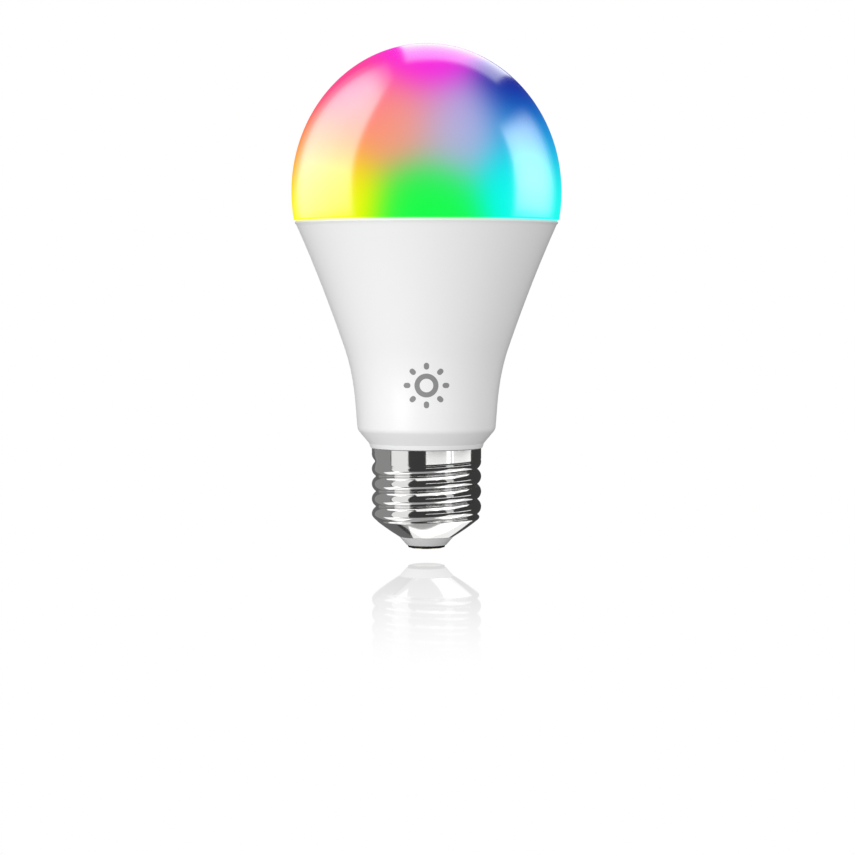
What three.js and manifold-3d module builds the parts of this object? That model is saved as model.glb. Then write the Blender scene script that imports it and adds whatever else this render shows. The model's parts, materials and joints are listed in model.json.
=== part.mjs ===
// Smart LED light bulb with an Edison screw cap, as an assembly of its separate pieces.
// Millimetres. +Z runs along the bulb's axis from the centre contact (z = 0) to the top of the dome.
// The driver board stands in the XZ plane, with its mains components on the -Y side.
import * as THREE from "three";
import { mergeVertices } from "three/addons/utils/BufferGeometryUtils.js";
import Module from "manifold-3d";

const wasm = await Module();
wasm.setup();

// ---- Driving dimensions -------------------------------------------------------------------
const CLEARANCE = 0.2; // between a piece and the one that it slides into

// Dome: an ellipse of revolution, cut off at the seam, with a skirt that drops into the housing.
const DOME_RADIUS = 32.3;
const DOME_HALF_HEIGHT = 35.4;
const DOME_CENTRE_Z = 85.3;
const DOME_WALL = 1.5;
const SEAM_Z = 78.7;
const RIM_RADIUS = 31.6;
const SKIRT_RADIUS = 28.1;
const SKIRT_DEPTH = 3.4;

// Housing: a flared cup above a chamfered foot, a lip, and a neck that fills the screw cap.
const HOUSING_WALL = 1.6;
const WAIST = { r: 19.8, z: 48.6 };
const FOOT = { r: 16.7, z: 29.6 };
const CHAMFER_TOP = { r: 16.3, z: 28.4 };
const LIP_TOP = { r: 13.75, z: 25.2 };
const LIP_BOTTOM = { r: 13.4, z: 24.2 };
const NECK_RADIUS = 11.45;
const NECK_BORE = 10.1;
const NECK_END_Z = 9.5;

// Screw cap: the 27 mm Edison thread, whose crests and roots are arcs of one radius.
const CREST_RADIUS = 13.15;
const THREAD_PITCH = 3.629; // seven turns to the inch
const THREAD_ARC = 1.025;
const THREAD_PHASE_Z = 17.3; // height of a crest on the +X side
const THREAD_FADE_Z = [20.9, 22.0]; // the groove runs out into the plain band here
const CAP_BORE = 11.7;
const CAP_END = { r: 6.6, z: 2.8 };
const CAP_CONE_SLOPE = 1.38; // radius gained per millimetre of height
const CAP_SHEET = 0.5;

// Contact end: insulator, washer and the riveted centre contact.
const INSULATOR_END = { r: 4.75, z: 0.75 };
const INSULATOR_TOP_Z = 5.2;
const WASHER = { r: 4.45, z: 0.2 };
const CONTACT_RADIUS = 3.7;
const RIVET_RADIUS = 1.3;
const RIVET_TOP_Z = 6.4;

// Light engine: the board sits on a ledge inside the aluminium cup.
const CUP_WALL = 1.0;
const CUP_TOP_Z = 74.6;
const CUP_FLOOR_Z = 32.4;
const CUP_FLOOR_HOLE = 8.4;
const LEDGE_Z = 71.2;
const LEDGE_RADIUS = 20.8;
const PAD_THICKNESS = 0.3;
const BOARD_RADIUS = 25.3;
const BOARD_THICKNESS = 1.6;
const WHITE_LED = { count: 16, ring: 19, radial: 2.8, tangential: 3.5, height: 0.7 };
const COLOUR_LED = { count: 4, ring: 13.6, radial: 5.0, tangential: 5.0, height: 1.4 };
const SCREW = { ring: 22.6, head: 1.9, headHeight: 1.3, shank: 1.2, length: 5 };

// Driver: one upright board, from the neck up to just under the light engine.
const DRIVER = { half: 11.5, tongueHalf: 7, bottom: 13, shoulder: 32, top: 66, thickness: 1.2 };
const SLEEVE = { outer: 13.3, wall: 0.7, bottom: 33.4, top: 62 };
const PIN = { count: 5, spacing: 2.54, width: 0.64, front: 0.7, back: 1.34, top: 75.4 };
const RADIO = { half: 7.5, y: 6, thickness: 0.8, bottom: 60, top: 81 };
const WIRE_RADIUS = 0.6;

const BIG_TURN = 40; // facets round the dome and the housing
const CAP_TURN = 32;
const SMALL_TURN = 16;

const LED_FLOOR_Z = LEDGE_Z + PAD_THICKNESS + BOARD_THICKNESS; // top face of the light board
const BOARD_FACE = DRIVER.thickness / 2;

// ---- Shape helpers ------------------------------------------------------------------------
const lerp = THREE.MathUtils.lerp;
const smoothstep = THREE.MathUtils.smoothstep;

// A closed [r, z] profile, counter-clockwise with r to the right, turned about the Z axis.
function turned(profile, segments) {
  const points = profile.map(([r, z]) => new THREE.Vector2(r, z));
  const onAxis = profile[0][0] === 0 && profile.at(-1)[0] === 0;
  if (!onAxis) points.push(points[0].clone());
  return new THREE.LatheGeometry(points, segments).rotateX(Math.PI / 2);
}

// A closed ring of rows of [r, z](angle) functions, for a skin that isn't the same all the way round.
function turnedRows(rows, segments) {
  const position = [];
  const index = [];
  const at = (row, column) => (row % rows.length) * segments + (column % segments);
  rows.forEach((row, i) => {
    for (let j = 0; j < segments; j++) {
      const angle = (2 * Math.PI * j) / segments;
      const [r, z] = row(angle);
      position.push(r * Math.cos(angle), r * Math.sin(angle), z);
      index.push(at(i, j), at(i, j + 1), at(i + 1, j));
      index.push(at(i, j + 1), at(i + 1, j + 1), at(i + 1, j));
    }
  });
  return new THREE.BufferGeometry()
    .setAttribute("position", new THREE.Float32BufferAttribute(position, 3))
    .setIndex(index);
}

// A flat shape in XY, raised from z = low to z = high.
function raised(shape, low, high, curveSegments = SMALL_TURN) {
  const options = { depth: high - low, bevelEnabled: false, curveSegments };
  return new THREE.ExtrudeGeometry(shape, options).translate(0, 0, low);
}

// A flat shape in XZ, from y = near to y = far.
function upright(shape, near, far, curveSegments = SMALL_TURN) {
  const options = { depth: far - near, bevelEnabled: false, curveSegments };
  return new THREE.ExtrudeGeometry(shape, options).rotateX(Math.PI / 2).translate(0, far, 0);
}

function outline(points) {
  return new THREE.Shape(points.map(([x, y]) => new THREE.Vector2(x, y)));
}

function rectangle(left, right, low, high) {
  return outline([[left, low], [right, low], [right, high], [left, high]]);
}

function roundedRectangle(halfWidth, halfHeight, radius) {
  const s = new THREE.Shape();
  const w = halfWidth - radius;
  const h = halfHeight - radius;
  s.absarc(w, h, radius, 0, Math.PI / 2);
  s.absarc(-w, h, radius, Math.PI / 2, Math.PI);
  s.absarc(-w, -h, radius, Math.PI, 1.5 * Math.PI);
  s.absarc(w, -h, radius, 1.5 * Math.PI, 2 * Math.PI);
  return s.closePath();
}

function disc(radius, x = 0, y = 0) {
  return new THREE.Shape().absarc(x, y, radius, 0, 2 * Math.PI);
}

function box(x, y, z) {
  const size = [x[1] - x[0], y[1] - y[0], z[1] - z[0]];
  const centre = [x, y, z].map(([low, high]) => (low + high) / 2);
  return new THREE.BoxGeometry(...size).translate(...centre);
}

function tube(points, radius, steps = 12) {
  const path = new THREE.CatmullRomCurve3(points.map((p) => new THREE.Vector3(...p)));
  const options = { steps, extrudePath: path, bevelEnabled: false, curveSegments: 4 };
  return new THREE.ExtrudeGeometry(disc(radius), options);
}

function solidOf(geometry) {
  const bare = geometry.index ? geometry.toNonIndexed() : geometry.clone();
  bare.deleteAttribute("normal");
  bare.deleteAttribute("uv");
  const merged = mergeVertices(bare, 1e-4);
  return new wasm.Manifold(
    new wasm.Mesh({
      numProp: 3,
      vertProperties: merged.attributes.position.array,
      triVerts: new Uint32Array(merged.index.array),
    }),
  );
}

function cut(geometry, ...tools) {
  const left = tools.reduce((solid, tool) => solid.subtract(solidOf(tool)), solidOf(geometry));
  const mesh = left.getMesh();
  return new THREE.BufferGeometry()
    .setAttribute("position", new THREE.Float32BufferAttribute(mesh.vertProperties, 3))
    .setIndex(new THREE.BufferAttribute(mesh.triVerts, 1));
}

// ---- Finishes -----------------------------------------------------------------------------
const finish = (color, roughness, metalness = 0) =>
  new THREE.MeshStandardMaterial({ color, roughness, metalness });
const OPAL = finish(0xf3efe6, 0.25);
const WHITE_SHELL = finish(0xe9e9e9, 0.35);
const NICKEL = finish(0xc9c8c6, 0.2, 1);
const LIGHT_GREY = finish(0xcfcfcf, 0.4);
const BLACK = finish(0x151515, 0.5);
const ALUMINIUM = finish(0xb9bcc0, 0.45, 1);
const SILICONE = finish(0xf2f2ee, 0.7);
const BOARD_WHITE = finish(0xf4f4f0, 0.4);
const BOARD_GREEN = finish(0x1f6b3a, 0.45);
const BOARD_BLUE = finish(0x173a6b, 0.4);
const WARM_PHOSPHOR = finish(0xf2b53a, 0.5);
const COOL_PHOSPHOR = finish(0xf0e36a, 0.5);
const CERAMIC_WHITE = finish(0xeeeeee, 0.4);
const STEEL = finish(0xb4b6b8, 0.35, 1);
const BRASS = finish(0xc9a24a, 0.35, 1);
const CAN_SLEEVE = finish(0x20242c, 0.4);
const FERRITE = finish(0x2c2a2a, 0.7);
const YELLOW_TAPE = finish(0xd9b62c, 0.45);
const COPPER = finish(0xb4652f, 0.35, 1);
const FILM_YELLOW = finish(0xdaa520, 0.4);
const DISC_BLUE = finish(0x2d5fa8, 0.5);
const RED = finish(0xb3201c, 0.45);
const CLEAR_SLEEVE = finish(0xdde2e2, 0.3);

const bulb = new THREE.Group();

function add(name, geometry, material) {
  const mesh = new THREE.Mesh(geometry, material);
  mesh.name = name;
  bulb.add(mesh);
  return mesh;
}

// ---- Outlines that several pieces share ---------------------------------------------------
// The flare is two cubic curves: a nearly straight cone, then a bend into the upright foot.
const flare = new THREE.CurvePath();
flare.add(
  new THREE.CubicBezierCurve(
    new THREE.Vector2(FOOT.r, FOOT.z),
    new THREE.Vector2(FOOT.r + 0.37, FOOT.z + 7.5),
    new THREE.Vector2(WAIST.r - 2.07, WAIST.z - 6),
    new THREE.Vector2(WAIST.r, WAIST.z),
  ),
);
flare.add(
  new THREE.CubicBezierCurve(
    new THREE.Vector2(WAIST.r, WAIST.z),
    new THREE.Vector2(WAIST.r + 3.45, WAIST.z + 10),
    new THREE.Vector2(RIM_RADIUS - 4.5, SEAM_Z - 10),
    new THREE.Vector2(RIM_RADIUS, SEAM_Z - 0.1),
  ),
);
const flarePoints = flare.curves.flatMap((c, i) => c.getPoints(6).slice(i ? 1 : 0)).map((p) => [p.x, p.y]);

// Radius of the housing's outside at a height on the flare.
function flareRadius(z) {
  const i = Math.max(1, flarePoints.findIndex((p) => p[1] >= z));
  const [a, b] = [flarePoints[i - 1], flarePoints[i]];
  return lerp(a[0], b[0], (z - a[1]) / (b[1] - a[1]));
}

function domeRadius(z, inset = 0) {
  const share = (z - DOME_CENTRE_Z) / (DOME_HALF_HEIGHT - inset);
  return (DOME_RADIUS - inset) * Math.sqrt(Math.max(0, 1 - share * share));
}

// Depth below the crest at a distance from it, for equal arcs that meet halfway down.
function grooveDepth(fromCrest) {
  const t = Math.abs(fromCrest - THREAD_PITCH * Math.round(fromCrest / THREAD_PITCH));
  const drop = (d) => THREAD_ARC - Math.sqrt(THREAD_ARC ** 2 - d ** 2);
  const depth = 2 * drop(THREAD_PITCH / 4);
  return t < THREAD_PITCH / 4 ? drop(t) : depth - drop(THREAD_PITCH / 2 - t);
}

// ---- Dome, seal and housing ---------------------------------------------------------------
function domeGeometry() {
  const outer = [];
  const inner = [];
  const low = Math.asin((SEAM_Z - DOME_CENTRE_Z) / DOME_HALF_HEIGHT);
  const steps = 14;
  for (let i = 0; i < steps; i++) {
    const a = lerp(low, Math.PI / 2, i / steps);
    outer.push([DOME_RADIUS * Math.cos(a), DOME_CENTRE_Z + DOME_HALF_HEIGHT * Math.sin(a)]);
  }
  outer.push([0, DOME_CENTRE_Z + DOME_HALF_HEIGHT]);
  const innerSteps = 9;
  inner.push([0, DOME_CENTRE_Z + DOME_HALF_HEIGHT - DOME_WALL]);
  for (let i = innerSteps - 1; i >= 0; i--) {
    const a = lerp(0, Math.PI / 2, i / innerSteps);
    inner.push([
      (DOME_RADIUS - DOME_WALL) * Math.cos(a),
      DOME_CENTRE_Z + (DOME_HALF_HEIGHT - DOME_WALL) * Math.sin(a),
    ]);
  }
  const skirtInside = SKIRT_RADIUS - DOME_WALL;
  inner.push([domeRadius(SEAM_Z + 3, DOME_WALL), SEAM_Z + 3], [skirtInside, SEAM_Z + 1]);
  const skirtEnd = SEAM_Z - SKIRT_DEPTH;
  const skirt = [[skirtInside, skirtEnd], [SKIRT_RADIUS, skirtEnd], [SKIRT_RADIUS, SEAM_Z]];
  // The axis closes the profile only if it starts and ends there, so the two skins are turned as one strip.
  return turned([...inner, ...skirt, ...outer], BIG_TURN);
}

function housingGeometry() {
  const inside = flarePoints
    .filter((p) => p[1] > FOOT.z + 2 && p[1] < SEAM_Z - SKIRT_DEPTH)
    .map(([r, z]) => [r - HOUSING_WALL, z])
    .reverse();
  const bore = SKIRT_RADIUS + CLEARANCE;
  return turned(
    [
      [NECK_BORE, NECK_END_Z],
      [NECK_RADIUS, NECK_END_Z],
      [NECK_RADIUS, LIP_BOTTOM.z],
      [LIP_BOTTOM.r, LIP_BOTTOM.z],
      [LIP_TOP.r, LIP_TOP.z],
      [CHAMFER_TOP.r, CHAMFER_TOP.z],
      ...flarePoints,
      [bore, SEAM_Z - 0.1],
      [bore, SEAM_Z - SKIRT_DEPTH - 0.4],
      ...inside,
      [FOOT.r - HOUSING_WALL, FOOT.z + 1.6],
      [NECK_BORE, FOOT.z - 2.4],
    ],
    BIG_TURN,
  );
}

add("diffuser_dome", domeGeometry(), OPAL);
add(
  "dome_seal",
  turned(
    [
      [SKIRT_RADIUS - DOME_WALL, SEAM_Z - SKIRT_DEPTH - 0.6],
      [SKIRT_RADIUS - 0.1, SEAM_Z - SKIRT_DEPTH - 0.6],
      [SKIRT_RADIUS - 0.1, SEAM_Z - SKIRT_DEPTH],
      [SKIRT_RADIUS - DOME_WALL, SEAM_Z - SKIRT_DEPTH],
    ],
    BIG_TURN,
  ),
  SILICONE,
);
add("housing_shell", housingGeometry(), WHITE_SHELL);

// ---- Aluminium cup, thermal pad and light board -------------------------------------------
const screwAngles = [0, Math.PI];

function screwHoles(radius) {
  return screwAngles.map((a) => disc(radius, SCREW.ring * Math.cos(a), SCREW.ring * Math.sin(a)));
}

// The screws' places, drilled from a depth below the ledge to just above it.
function drills(radius, depth) {
  return screwHoles(radius).map((hole) => raised(hole, LEDGE_Z - depth, LEDGE_Z + 1, 8));
}

function cupGeometry() {
  const outside = (z) => flareRadius(z) - HOUSING_WALL - CLEARANCE;
  const levels = [CUP_FLOOR_Z + 2, 40, 46, 52, 59, 66];
  const up = levels.map((z) => [outside(z), z]);
  const down = levels.slice(1).reverse().map((z) => [outside(z) - CUP_WALL, z]);
  const cup = turned(
    [
      [CUP_FLOOR_HOLE, CUP_FLOOR_Z],
      [outside(CUP_FLOOR_Z) - 1.5, CUP_FLOOR_Z],
      ...up,
      [outside(CUP_TOP_Z), CUP_TOP_Z],
      [outside(CUP_TOP_Z) - CUP_WALL, CUP_TOP_Z],
      [outside(LEDGE_Z) - CUP_WALL, LEDGE_Z],
      [LEDGE_RADIUS, LEDGE_Z],
      [LEDGE_RADIUS, LEDGE_Z - 1.2],
      [outside(LEDGE_Z - 3) - CUP_WALL, LEDGE_Z - 3],
      ...down,
      [outside(CUP_FLOOR_Z + 1) - CUP_WALL - 0.6, CUP_FLOOR_Z + 1],
      [CUP_FLOOR_HOLE, CUP_FLOOR_Z + 1],
    ],
    BIG_TURN,
  );
  return cut(cup, ...drills(SCREW.shank + CLEARANCE / 2, 6));
}

function padGeometry() {
  const ring = disc(BOARD_RADIUS - 0.4);
  ring.holes.push(disc(LEDGE_RADIUS));
  const pad = raised(ring, LEDGE_Z, LEDGE_Z + PAD_THICKNESS, BIG_TURN / 2);
  return cut(pad, ...drills(SCREW.shank + CLEARANCE, 1));
}

function lightBoardGeometry() {
  const board = disc(BOARD_RADIUS);
  const pinSlot = rectangle(-6.5, 6.5, -0.2, 2.3);
  const radioHalf = RADIO.half + CLEARANCE;
  const radioSlot = rectangle(-radioHalf, radioHalf, RADIO.y - 0.3, RADIO.y + RADIO.thickness + 0.3);
  board.holes.push(pinSlot, radioSlot, ...screwHoles(SCREW.shank + CLEARANCE));
  return raised(board, LEDGE_Z + PAD_THICKNESS, LED_FLOOR_Z, BIG_TURN / 2);
}

add("heat_sink_cup", cupGeometry(), ALUMINIUM);
add("thermal_pad", padGeometry(), SILICONE);
add("light_board", lightBoardGeometry(), BOARD_WHITE);

// ---- Light emitters, on two rings ---------------------------------------------------------
// A package is a block with one corner cut off, which marks its cathode.
function ledGeometry({ radial, tangential, height }) {
  const [x, y, corner] = [radial / 2, tangential / 2, 0.6];
  return raised(outline([[-x, -y], [x, -y], [x, y - corner], [x - corner, y], [-x, y]]), 0, height);
}

function placeRing(led, phase, name) {
  for (let i = 0; i < led.count; i++) {
    const angle = (2 * Math.PI * (i + phase)) / led.count;
    const [label, material] = name(i);
    const mesh = add(label, ledGeometry(led), material);
    mesh.position.set(led.ring * Math.cos(angle), led.ring * Math.sin(angle), LED_FLOOR_Z);
    mesh.rotation.z = angle;
  }
}

placeRing(WHITE_LED, 0.5, (i) => {
  const number = Math.floor(i / 2) + 1;
  return i % 2 ? [`cool_white_led_${number}`, COOL_PHOSPHOR] : [`warm_white_led_${number}`, WARM_PHOSPHOR];
});
placeRing(COLOUR_LED, 0.5, (i) => [`colour_led_${i + 1}`, CERAMIC_WHITE]);

// ---- Screws that hold the light board down -------------------------------------------------
screwAngles.forEach((angle, i) => {
  const screw = turned(
    [
      [0, -SCREW.length],
      [SCREW.shank * 0.6, -SCREW.length + 0.6],
      [SCREW.shank, -SCREW.length + 1.6],
      [SCREW.shank, 0],
      [SCREW.head, 0],
      [SCREW.head, SCREW.headHeight * 0.55],
      [SCREW.head * 0.6, SCREW.headHeight],
      [0, SCREW.headHeight],
    ],
    12,
  );
  const recess = (w, l) => box([-w, w], [-l, l], [SCREW.headHeight - 0.7, SCREW.headHeight + 0.5]);
  const crossed = cut(screw, recess(0.25, 1.1), recess(1.1, 0.25));
  const mesh = add(`board_screw_${i + 1}`, crossed, STEEL);
  mesh.position.set(SCREW.ring * Math.cos(angle), SCREW.ring * Math.sin(angle), LED_FLOOR_Z);
});

// ---- Screw cap and contact end ------------------------------------------------------------
function capGeometry() {
  const coneRadius = (z) => CAP_END.r + (z - CAP_END.z) * CAP_CONE_SLOPE;
  const outer = (z) => (angle) => {
    const crest = THREAD_PHASE_Z + (THREAD_PITCH * angle) / (2 * Math.PI);
    const fade = 1 - smoothstep(z, ...THREAD_FADE_Z);
    return [Math.min(CREST_RADIUS - fade * grooveDepth(z - crest), coneRadius(z)), z];
  };
  const plain = (r, z) => () => [r, z];
  const rows = [plain(CAP_END.r - CAP_SHEET, CAP_END.z), outer(CAP_END.z), outer(4.9), outer(6.2)];
  const threadRows = 28;
  const threadBottom = 6.9;
  for (let i = 0; i <= threadRows; i++) {
    rows.push(outer(lerp(threadBottom, THREAD_FADE_Z[1], i / threadRows)));
  }
  const sheetTop = LIP_BOTTOM.z - 0.05;
  rows.push(outer(sheetTop), plain(CAP_BORE, sheetTop));
  rows.push(plain(CAP_BORE, 7.4), plain(coneRadius(4.9) - 0.7, 4.9));
  return turnedRows(rows, CAP_TURN);
}

add("screw_cap", capGeometry(), NICKEL);
add(
  "cap_insulator",
  turned(
    [
      [RIVET_RADIUS + CLEARANCE, INSULATOR_END.z],
      [INSULATOR_END.r, INSULATOR_END.z],
      [CAP_END.r - 0.1, CAP_END.z - 0.05],
      [CAP_END.r - CAP_SHEET - 0.15, CAP_END.z - 0.05],
      [CAP_END.r - CAP_SHEET - 0.15, CAP_END.z + 0.6],
      [7.0, 4.3],
      [7.0, INSULATOR_TOP_Z],
      [RIVET_RADIUS + CLEARANCE, INSULATOR_TOP_Z],
    ],
    CAP_TURN,
  ),
  LIGHT_GREY,
);
add(
  "contact_washer",
  turned(
    [
      [RIVET_RADIUS + CLEARANCE, WASHER.z],
      [WASHER.r - 0.15, WASHER.z],
      [WASHER.r, WASHER.z + 0.15],
      [WASHER.r, INSULATOR_END.z],
      [RIVET_RADIUS + CLEARANCE, INSULATOR_END.z],
    ],
    CAP_TURN,
  ),
  BLACK,
);
add(
  "centre_contact",
  turned(
    [
      [0, 0],
      [CONTACT_RADIUS - 0.4, 0],
      [CONTACT_RADIUS, 0.1],
      [CONTACT_RADIUS, WASHER.z],
      [RIVET_RADIUS, WASHER.z],
      [RIVET_RADIUS, INSULATOR_TOP_Z],
      [RIVET_RADIUS + 0.8, INSULATOR_TOP_Z],
      [RIVET_RADIUS + 0.6, INSULATOR_TOP_Z + 0.6],
      [RIVET_RADIUS - 0.5, RIVET_TOP_Z],
      [0, RIVET_TOP_Z],
    ],
    SMALL_TURN + 4,
  ),
  BRASS,
);

// ---- Driver board, sleeve and the pins up to the light board --------------------------------
function driverBoardGeometry() {
  const { half, tongueHalf, bottom, shoulder, top } = DRIVER;
  const lift = half - tongueHalf;
  return upright(
    outline([
      [-tongueHalf, bottom],
      [tongueHalf, bottom],
      [tongueHalf, shoulder + 2],
      [half, shoulder + 2 + lift],
      [half, top],
      [-half, top],
      [-half, shoulder + 2 + lift],
      [-tongueHalf, shoulder + 2],
    ]),
    -BOARD_FACE,
    BOARD_FACE,
  );
}

const pinPlaces = Array.from({ length: PIN.count }, (_, i) => (i - (PIN.count - 1) / 2) * PIN.spacing);

// One comb: a soldered foot bar, and five square pins.
function pinCombGeometry() {
  const [foot, bar] = [63, 64.2];
  const edge = pinPlaces[PIN.count - 1] + PIN.width / 2;
  const points = [[-edge, foot], [edge, foot]];
  [...pinPlaces].reverse().forEach((x) => {
    const [left, right] = [x - PIN.width / 2, x + PIN.width / 2];
    points.push([right, bar], [right, PIN.top], [left, PIN.top], [left, bar]);
  });
  const unique = points.filter(([x, z], i) => i < 2 || !(z === bar && Math.abs(x) >= edge));
  return upright(outline(unique), PIN.front, PIN.back);
}

function pinSocketGeometry() {
  const y = (PIN.front + PIN.back) / 2;
  const body = raised(roundedRectangle(6.8, 1.6, 0.3), LED_FLOOR_Z, LED_FLOOR_Z + 3, 2).translate(0, y, 0);
  const wells = pinPlaces.map((x) =>
    box([x - 0.45, x + 0.45], [y - 0.45, y + 0.45], [LED_FLOOR_Z - 1, LED_FLOOR_Z + 4]),
  );
  return cut(body, ...wells);
}

add("driver_board", driverBoardGeometry(), BOARD_GREEN);
add(
  "driver_sleeve",
  turned(
    [
      [SLEEVE.outer - SLEEVE.wall, SLEEVE.bottom],
      [SLEEVE.outer, SLEEVE.bottom],
      [SLEEVE.outer, SLEEVE.top],
      [SLEEVE.outer - SLEEVE.wall, SLEEVE.top],
    ],
    CAP_TURN,
  ),
  CLEAR_SLEEVE,
);
add("driver_pins", pinCombGeometry(), BRASS);
add("pin_socket", pinSocketGeometry(), CERAMIC_WHITE);

// ---- Radio module: its aerial end stands above the aluminium light board --------------------
add(
  "radio_board",
  upright(rectangle(-RADIO.half, RADIO.half, RADIO.bottom, RADIO.top), RADIO.y, RADIO.y + RADIO.thickness),
  BOARD_BLUE,
);
add(
  "radio_shield",
  upright(rectangle(-5.4, 5.4, 62.4, 70.2), RADIO.y + RADIO.thickness, RADIO.y + RADIO.thickness + 1.9),
  STEEL,
);
add("radio_header", box([-6.35, 6.35], [BOARD_FACE, RADIO.y], [60.3, 62.5]), BLACK);

// ---- Driver components on the -Y face -------------------------------------------------------
// A can stands on end: a crimped rim near the foot, and a rounded shoulder at the top.
function canGeometry(radius, length) {
  return turned(
    [
      [0, 0],
      [radius - 0.3, 0],
      [radius, 0.3],
      [radius, 1.2],
      [radius - 0.35, 1.6],
      [radius, 2],
      [radius, length - 0.5],
      [radius - 0.5, length],
      [0, length],
    ],
    SMALL_TURN,
  );
}

add("bulk_capacitor", canGeometry(5, 16).translate(-3.4, -6.1, 36), CAN_SLEEVE);

const TRANSFORMER_Z = 58.9;
const TRANSFORMER_Y = -BOARD_FACE - 4;
function transformerCoreGeometry() {
  const block = box([-5.6, 5.6], [-2.25, 2.25], [-5.1, 5.1]);
  const windows = [box([-4.2, -1.7], [-3, 3], [-3.4, 3.4]), box([1.7, 4.2], [-3, 3], [-3.4, 3.4])];
  return cut(block, ...windows).translate(0, TRANSFORMER_Y, TRANSFORMER_Z);
}

function transformerWindingGeometry() {
  const coil = roundedRectangle(4, 4, 0.9);
  coil.holes.push(rectangle(-1.85, 1.85, -2.4, 2.4));
  return raised(coil, TRANSFORMER_Z - 3.2, TRANSFORMER_Z + 3.2, 4).translate(0, TRANSFORMER_Y, 0);
}

add("transformer_core", transformerCoreGeometry(), FERRITE);
add("transformer_winding", transformerWindingGeometry(), YELLOW_TAPE);

const chip = (x, z, width, height, depth = 1.5) =>
  box([x - width / 2, x + width / 2], [-BOARD_FACE - depth, -BOARD_FACE], [z - height / 2, z + height / 2]);
add("driver_chip", chip(6.6, 41, 3.9, 4.9), BLACK);
add("dimming_chip", chip(6.6, 48.2, 3.9, 4.9), BLACK);
add("bridge_rectifier", chip(3.4, 28, 4.7, 3.9), BLACK);
add("output_diode", chip(9.2, 59.5, 2.6, 4.3, 2.2), BLACK);

const resistorProfile = [[0, -5], [1.2, -5], [1.6, -4.4], [1.6, 4.4], [1.2, 5], [0, 5]];
const resistor = turned(resistorProfile, 12).translate(-3.6, -BOARD_FACE - 1.7, 21.5);
add("fusible_resistor", resistor, RED);

// ---- Driver components on the +Y face -------------------------------------------------------
add("output_capacitor", canGeometry(4, 11.5).translate(-4.8, 5.3, 36), CAN_SLEEVE);

// A drum core lies with its axis across the board, and the wire fills its waist.
const DRUM = { x: 4.4, z: 41.5, r: 3.9, waist: 2.2, length: 7.6, flange: 1.1 };
const acrossBoard = (geometry) => geometry.rotateX(-Math.PI / 2).translate(DRUM.x, BOARD_FACE, DRUM.z);
add(
  "inductor_core",
  acrossBoard(
    turned(
      [
        [0, 0],
        [DRUM.r, 0],
        [DRUM.r, DRUM.flange],
        [DRUM.waist, DRUM.flange],
        [DRUM.waist, DRUM.length - DRUM.flange],
        [DRUM.r, DRUM.length - DRUM.flange],
        [DRUM.r, DRUM.length],
        [0, DRUM.length],
      ],
      SMALL_TURN,
    ),
  ),
  FERRITE,
);
add(
  "inductor_winding",
  acrossBoard(
    turned(
      [
        [DRUM.waist + 0.1, DRUM.flange + 0.1],
        [DRUM.r - 0.4, DRUM.flange + 0.1],
        [DRUM.r - 0.4, DRUM.length - DRUM.flange - 0.1],
        [DRUM.waist + 0.1, DRUM.length - DRUM.flange - 0.1],
      ],
      SMALL_TURN,
    ),
  ),
  COPPER,
);
add("film_capacitor", box([-6.5, 3.5], [BOARD_FACE, BOARD_FACE + 5], [49.6, 58]), FILM_YELLOW);
const varistor = upright(disc(3.6), BOARD_FACE + 0.3, BOARD_FACE + 3.3).translate(1.2, 0, 21);
add("varistor", varistor, DISC_BLUE);

// ---- Mains leads from the board's foot ------------------------------------------------------
add(
  "live_wire",
  tube(
    [
      [2.2, -BOARD_FACE - WIRE_RADIUS - 0.05, 17],
      [2.2, -BOARD_FACE - WIRE_RADIUS - 0.05, 14],
      [2.4, -1.4, 11.5],
      [1.2, -0.8, 9],
      [0, 0, 7.4],
      [0, 0, RIVET_TOP_Z + 0.05],
    ],
    WIRE_RADIUS,
  ),
  RED,
);
add(
  "neutral_wire",
  tube(
    [
      [-4.6, BOARD_FACE + WIRE_RADIUS + 0.05, 18],
      [-4.6, BOARD_FACE + WIRE_RADIUS + 0.05, 14],
      [-5.4, 1.5, 10.5],
      [-7.4, 1.2, 8.6],
      [-9.4, 0.8, 8.2],
      [-11.0, 0.4, 8.5],
    ],
    WIRE_RADIUS,
  ),
  BLACK,
);

export default bulb;
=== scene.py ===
import json

import bmesh
import bpy
import numpy as np
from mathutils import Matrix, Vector


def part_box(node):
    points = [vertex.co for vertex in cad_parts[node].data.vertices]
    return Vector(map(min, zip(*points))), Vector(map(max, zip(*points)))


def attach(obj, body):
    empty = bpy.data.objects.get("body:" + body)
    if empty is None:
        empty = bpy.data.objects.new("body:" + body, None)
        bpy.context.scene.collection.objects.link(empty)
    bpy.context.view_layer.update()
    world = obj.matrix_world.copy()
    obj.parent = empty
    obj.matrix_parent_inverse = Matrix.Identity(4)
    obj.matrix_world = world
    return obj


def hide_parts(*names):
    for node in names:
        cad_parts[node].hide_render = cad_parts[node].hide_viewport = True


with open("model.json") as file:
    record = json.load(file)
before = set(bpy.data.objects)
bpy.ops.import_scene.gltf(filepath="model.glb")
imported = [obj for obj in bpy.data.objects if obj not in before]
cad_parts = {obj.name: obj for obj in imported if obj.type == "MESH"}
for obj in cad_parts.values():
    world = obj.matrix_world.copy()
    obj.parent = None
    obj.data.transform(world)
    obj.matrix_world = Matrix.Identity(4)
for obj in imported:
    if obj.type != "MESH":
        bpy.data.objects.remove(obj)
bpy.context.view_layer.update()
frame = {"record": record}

# ---- Centre contact -----------------------------------------------------------------------
# A brass rivet, plated and pressed through the insulator, that carries the live side.
# Its flat underside is the face that the lampholder's spring touches.
MM = 0.001


def extent(node):
    """A CAD node's lowest and highest corners in millimetres."""
    low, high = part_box(node)
    return np.array(low) / MM, np.array(high) / MM


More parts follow.
